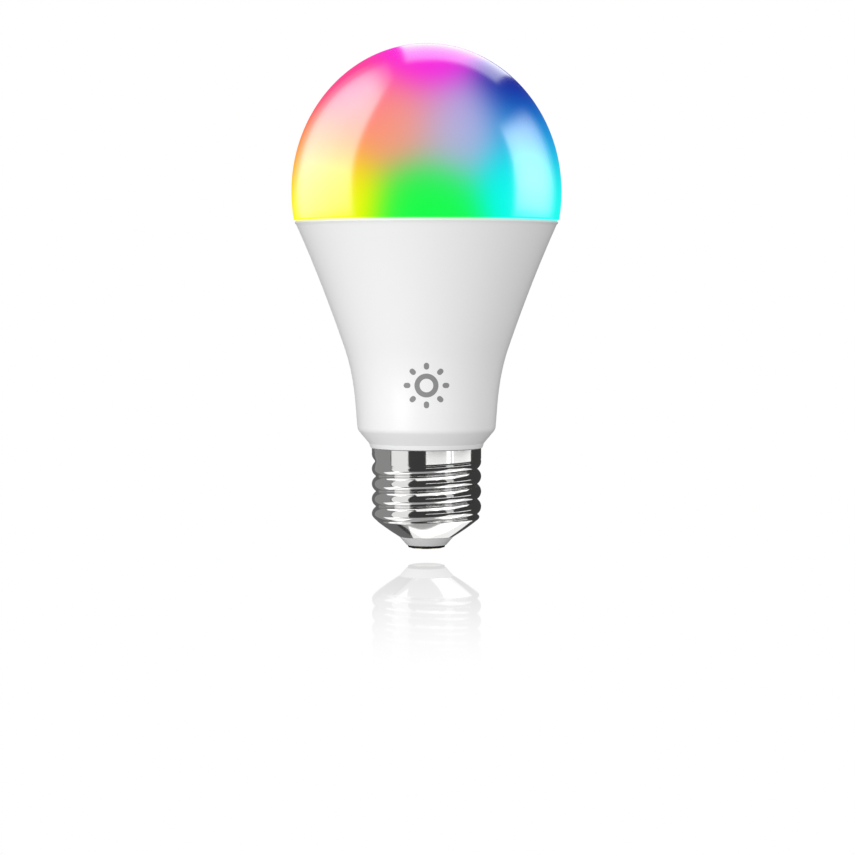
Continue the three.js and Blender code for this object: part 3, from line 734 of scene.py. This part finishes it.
def dress_wound(slot, roughness, scale, metallic, strength, amount=0.12):
    """Turns of wire or tape: fine ribs, and shade that gathers between them."""
    finish = Finish(slot + "_finish", tint(slot), Metallic=metallic, Roughness=roughness)
    ribs = finish.group(turns_of_wire, Vector=finish.place(), Scale=scale)["Height"]
    base = clouded(finish, tint(slot), amount)
    depth = finish.node("ShaderNodeMapRange", ribs, 0.0, 0.5, 0.55, 1.0)
    shaded = finish.node("ShaderNodeVectorMath", base, operation="SCALE")
    finish.links.new(depth.outputs[0], shaded.inputs["Scale"])
    finish.feed("Base Color", shaded.outputs[0])
    finish.bump(ribs, strength)
    finish.dress(*nodes_in(slot))
    return finish


dress_board("board_green", (0.05, 0.24, 0.09), 0.3)
dress_board("radio_blue", (0.04, 0.1, 0.3), 0.3, 320.0)
dress_metal("shield_tin", 0.26, 0.12, 0.06, amount=0.12, rotation=(QUARTER, 0, 0))
dress_metal("pin_brass", 0.25, 0.1, 0.05)
dress_plastic("header_black", 0.45, bump=0.15)
dress_plastic("socket_white", 0.4, amount=0.05, bump=0.1)
dress_plastic("can_sleeve", 0.28, amount=0.15, scale=150.0, bump=0.05)
dress_plastic("ferrite", 0.62, amount=0.2, scale=3000.0, bump=0.4)
dress_plastic("chip_black", 0.5, amount=0.12, scale=5000.0, bump=0.25)
dress_plastic("film_box", 0.22, amount=0.06, bump=0.05)
dress_plastic("varistor_blue", 0.2, amount=0.1, grain=1500.0, bump=0.12)
dress_plastic("resistor_red", 0.35, amount=0.12, bump=0.15)
dress_plastic("wire_red", 0.32, amount=0.08, bump=0.08)
dress_plastic("wire_black", 0.32, amount=0.08, bump=0.08)
dress_wound("copper_wire", 0.3, 700.0, 0.9, 0.5)
dress_wound("tape_yellow", 0.25, 90.0, 0.0, 0.15)
dress_plastic("sleeve_clear", 0.12, amount=0.03, bump=0.03, Transmission_Weight=0.9, IOR=1.45)

# ---- Studio -------------------------------------------------------------------------------
# A white sweep lit from large soft lights, with a polished patch of floor under the bulb.
# The camera stands a little above the bulb's waist and looks slightly down.
scene = bpy.context.scene
scene.view_settings.view_transform = "Standard"
scene.view_settings.look = "None"
CAMERA_DISTANCE = 0.66
EYE_HEIGHT = 0.062
AIM_HEIGHT = 0.029
camera = bpy.data.objects.new("camera", bpy.data.cameras.new("camera"))
camera.data.sensor_width = 36
camera.data.lens = 115.8
camera.data.clip_start = 0.01
camera.location = (0.00024, -CAMERA_DISTANCE, EYE_HEIGHT)
camera.rotation_euler = (np.pi / 2 - np.arctan2(EYE_HEIGHT - AIM_HEIGHT, CAMERA_DISTANCE), 0, 0)
scene.collection.objects.link(camera)
scene.camera = camera


def staged(name, points, material, **seen):
    """A flat sheet of the studio through its corner points, in metres."""
    mesh = bpy.data.meshes.new(name)
    mesh.from_pydata(points, [], [list(range(len(points)))])
    sheet = bpy.data.objects.new(name, mesh)
    scene.collection.objects.link(sheet)
    mesh.materials.append(material)
    for kind in ("camera", "diffuse", "glossy", "transmission", "shadow"):
        setattr(sheet, "visible_" + kind, seen.get(kind, False))
    return sheet


world = bpy.data.worlds.new("studio")
world.use_nodes = True
scene.world = world
sky = world.node_tree
background = sky.nodes["Background"]
background.inputs["Color"].default_value = (1, 1, 1, 1)
path = add_node(sky, "ShaderNodeLightPath")
AMBIENT = 0.5
REFLECTED = 0.05
glossy_ray = path.outputs["Is Glossy Ray"]
diffuse_or_glossy = add_node(sky, "ShaderNodeMapRange", glossy_ray, 0.0, 1.0, AMBIENT, REFLECTED)
level = add_node(sky, "ShaderNodeMapRange", path.outputs["Is Camera Ray"], 0.0, 1.0, None, 1.0)
sky.links.new(diffuse_or_glossy.outputs[0], level.inputs["To Min"])
sky.links.new(level.outputs[0], background.inputs["Strength"])

FLOOR_Z = -0.002
floor_paint = bpy.data.materials.new("polished_floor")
floor_paint.use_nodes = True
tree = floor_paint.node_tree
tree.nodes.clear()
out = add_node(tree, "ShaderNodeOutputMaterial")
spot = add_node(tree, "ShaderNodeTexCoord")
radius = add_node(tree, "ShaderNodeVectorMath", spot.outputs["Object"], operation="LENGTH")
fade = add_node(tree, "ShaderNodeMapRange", radius.outputs["Value"], 0.02, 0.2, 0.3, 0.0)
fade.interpolation_type = "SMOOTHSTEP"
white = add_node(tree, "ShaderNodeEmission", (1, 1, 1, 1), 1.0)
gloss = add_node(tree, "ShaderNodeBsdfGlossy", (1, 1, 1, 1))
gloss.inputs["Roughness"].default_value = 0.03
mirror = add_node(tree, "ShaderNodeMixShader", fade.outputs[0], white.outputs[0], gloss.outputs[0])
below = add_node(tree, "ShaderNodeBsdfTransparent")
face = add_node(tree, "ShaderNodeNewGeometry")
shaders = (mirror.outputs[0], below.outputs[0])
onesided = add_node(tree, "ShaderNodeMixShader", face.outputs["Backfacing"], *shaders)
tree.links.new(onesided.outputs[0], out.inputs["Surface"])
FLOOR_REACH = 3.0
CORNERS = ((-1, -1), (1, -1), (1, 1), (-1, 1))
floor_corners = [(x * FLOOR_REACH, y * FLOOR_REACH, FLOOR_Z) for x, y in CORNERS]
floor = staged("floor", floor_corners, floor_paint, camera=True)


def only_on(lamp, *pieces):
    """Limit a lamp to some pieces."""
    group = bpy.data.collections.new(lamp.name + "_pieces")
    for piece in pieces:
        group.objects.link(piece)
    lamp.light_linking.receiver_collection = group


def panel(name, place, aim, size, radiance, only, diffuse=True, glossy=True):
    """A soft rectangular light that faces a point."""
    lamp = bpy.data.objects.new(name, bpy.data.lights.new(name, "AREA"))
    lamp.data.shape = "RECTANGLE"
    lamp.data.size, lamp.data.size_y = size
    lamp.data.energy = radiance * size[0] * size[1] * np.pi
    scene.collection.objects.link(lamp)
    lamp.location = place
    lamp.rotation_euler = (Vector(place) - Vector(aim)).to_track_quat("Z", "Y").to_euler()
    lamp.visible_camera = False
    lamp.visible_diffuse = diffuse
    lamp.visible_glossy = glossy
    only_on(lamp, *only)
    return lamp


def toward(azimuth, elevation, distance, centre):
    """A point at some degrees right of the camera and above the level, seen from the centre."""
    turn, rise = np.radians([azimuth, elevation])
    step = np.array([np.cos(rise) * np.sin(turn), -np.cos(rise) * np.cos(turn), np.sin(rise)])
    return np.array(centre) + distance * step


def grey(tree, value, stops):
    """A grey that follows (value, grey) stops."""
    low, high = stops[0][0], stops[-1][0]
    share = add_node(tree, "ShaderNodeMapRange", value, low, high, 0.0, 1.0)
    ramp = add_node(tree, "ShaderNodeValToRGB", share.outputs[0])
    elements = ramp.color_ramp.elements
    for position, _ in stops[1:-1]:
        elements.new((position - low) / (high - low))
    for element, (_, shade) in zip(elements, stops):
        element.color = (shade, shade, shade, 1)
    return ramp.outputs["Color"]


def graded(lamp, centre, scale):
    """Open a lamp's nodes and give its own points as x, y and z from a centre, in units of a length."""
    lamp.data.use_nodes = True
    tree = lamp.data.node_tree
    spot = add_node(tree, "ShaderNodeNewGeometry")
    offset = add_node(tree, "ShaderNodeVectorMath", spot.outputs["Position"], centre, operation="SUBTRACT")
    share = (1 / scale,) * 3
    scaled = add_node(tree, "ShaderNodeVectorMath", offset.outputs[0], share, operation="MULTIPLY")
    return tree, add_node(tree, "ShaderNodeSeparateXYZ", scaled.outputs[0]).outputs


def paint(tree, first, second):
    """Colour the lamp with the product of two greys."""
    both = add_node(tree, "ShaderNodeVectorMath", first, second, operation="MULTIPLY")
    tree.links.new(both.outputs[0], tree.nodes["Emission"].inputs["Color"])


# The housing's light: a wide one from the left, a small bright one whose shine lies left of the middle,
# a broad one from the front and two behind. The washer, the insulator and the printed mark share it.
MIDDLE = (0, 0, 0.055)
moulded_parts = [housing, mark_ring, mark_rays, insulator, washer]
panel("left_light", toward(-70, 15, 1.2, MIDDLE), MIDDLE, (0.7, 0.9), 2.0, moulded_parts, glossy=False)
panel("key_light", toward(-40, 1, 1.1, MIDDLE), MIDDLE, (0.45, 0.6), 5.0, moulded_parts)
panel("front_light", toward(20, 15, 1.2, MIDDLE), MIDDLE, (1.0, 1.0), 2.0, moulded_parts, glossy=False)
panel("right_back_light", toward(125, 10, 1.2, MIDDLE), MIDDLE, (0.8, 1.0), 0.9, moulded_parts, glossy=False)
panel("left_back_light", toward(-165, 10, 1.2, MIDDLE), MIDDLE, (0.8, 1.0), 1.1, moulded_parts, glossy=False)

# Softboxes that only the dome mirrors: tall ones at its two sides, and a strip above and behind.
# Their greys follow y and z, counted from the dome's centre in distances from its axis.
DOME_CENTRE = (0, 0, DOME_CENTRE_Z * MM)
BOX_DISTANCE = 0.5


def softbox(name, side, strength, front, back, low, high, across, up, lean=0.0):
    """A box beside the dome, whose front edge leans back above its middle as a parabola."""
    size = (BOX_DISTANCE * (back - front), BOX_DISTANCE * (high - low))
    step = BOX_DISTANCE * np.array([side, (front + back) / 2, (low + high) / 2])
    place = DOME_CENTRE + step
    lamp = panel(name, place, place - [side, 0, 0], size, strength, [dome], diffuse=False)
    tree, axes = graded(lamp, DOME_CENTRE, BOX_DISTANCE)
    above = add_node(tree, "ShaderNodeMath", axes["Z"], 0.5, operation="SUBTRACT")
    raised = add_node(tree, "ShaderNodeMath", above.outputs[0], 0.0, operation="MAXIMUM")
    curve = add_node(tree, "ShaderNodeMath", raised.outputs[0], 2.0, operation="POWER")
    edge = add_node(tree, "ShaderNodeMath", curve.outputs[0], -lean, axes["Y"], operation="MULTIPLY_ADD")
    paint(tree, grey(tree, edge.outputs[0], across), grey(tree, axes["Z"], up))


softbox(
    "left_softbox",
    side=-1,
    strength=8.4,
    front=-0.52,
    back=2.4,
    low=-0.5,
    high=3.2,
    across=[(-0.50, 0), (-0.44, 1), (0.1, 0.95), (0.6, 0.62), (1.05, 0.3), (1.35, 0.08), (2.4, 0.0)],
    up=[(-0.5, 0), (-0.25, 0.3), (-0.1, 0.6), (0.25, 0.95), (1.1, 1), (1.6, 0.85), (2.2, 0.3), (3.0, 0)],
    lean=0.16,
)
softbox(
    "right_softbox",
    side=1,
    strength=8.0,
    front=-0.25,
    back=1.4,
    low=-0.5,
    high=0.95,
    across=[(-0.22, 0), (-0.17, 1), (0.05, 1), (0.35, 0.7), (0.63, 0.38), (1.0, 0.06), (1.4, 0)],
    up=[
        (-0.5, 0),
        (-0.2, 0.32),
        (-0.08, 0.78),
        (0.1, 1),
        (0.56, 0.9),
        (0.66, 0.6),
        (0.74, 0.2),
        (0.82, 0),
        (0.95, 0),
    ],
)
STRIP_HEIGHT = 0.6
STRIP = {"left": -0.2, "right": 0.74, "front": 0.36, "back": 4.0}
strip_place = DOME_CENTRE + STRIP_HEIGHT * np.array(
    [(STRIP["left"] + STRIP["right"]) / 2, (STRIP["front"] + STRIP["back"]) / 2, 1]
)
strip_size = STRIP_HEIGHT * (STRIP["right"] - STRIP["left"]), STRIP_HEIGHT * (STRIP["back"] - STRIP["front"])
strip = panel("top_strip", strip_place, strip_place - [0, 0, 1], strip_size, 2.3, [dome], diffuse=False)
tree, axes = graded(strip, DOME_CENTRE, STRIP_HEIGHT)
slant = add_node(tree, "ShaderNodeMath", axes["X"], 0.0, operation="MAXIMUM")
front_edge = add_node(tree, "ShaderNodeMath", slant.outputs[0], -0.33, axes["Y"], operation="MULTIPLY_ADD")
paint(
    tree,
    grey(tree, front_edge.outputs[0], [(0.36, 0), (0.52, 1), (4.0, 0.8)]),
    grey(tree, axes["X"], [(-0.2, 0), (-0.17, 1), (0.72, 1), (0.78, 0)]),
)

# Plain cards round the cap, which only the metal mirrors: a tall one on the left with grey ones behind it,
# a smaller one on the right, one on the floor, low strips for the plain collar, and rings of tilted cards
# above and below the dark horizon.
CAP_MIDDLE = (0, 0, 0.012)
CARD_DISTANCE = 0.4


def card(name, azimuth, elevation, width, height, radiance):
    """A card that spans some degrees across and up, seen from the cap."""
    size = 2 * CARD_DISTANCE * np.tan(np.radians([width, height]) / 2)
    place = toward(azimuth, elevation, CARD_DISTANCE, CAP_MIDDLE)
    panel(name, place, CAP_MIDDLE, size, radiance, [shell, contact], diffuse=False)


card("left_card", -58, 5, 40, 90, 0.9)
card("left_fill", -110, 0, 60, 100, 0.25)
card("back_fill", -165, 0, 50, 100, 0.1)
card("right_card", 50, 20, 16, 50, 0.6)
card("floor_card", 0, -85, 70, 70, 0.4)
for number, azimuth in enumerate((25, 80)):
    card(f"collar_strip_{number + 1}", azimuth, -4, 52, 5, 1.2)
for number, azimuth in enumerate((0, 45, 90, 135, 180, -135, -90)):
    card(f"upper_card_{number + 1}", azimuth, 55, 40, 35, 1.1)
for number, azimuth in enumerate((-90, 75, 120, 165)):
    card(f"lower_card_{number + 1}", azimuth, -50, 42, 40, 1.0)

# The white sweep that the polished floor mirrors behind the bulb.
panel("white_sweep", (0, 2, 0.35), (0, 0, 0.35), (3, 1.6), 1 - REFLECTED, [floor], diffuse=False)
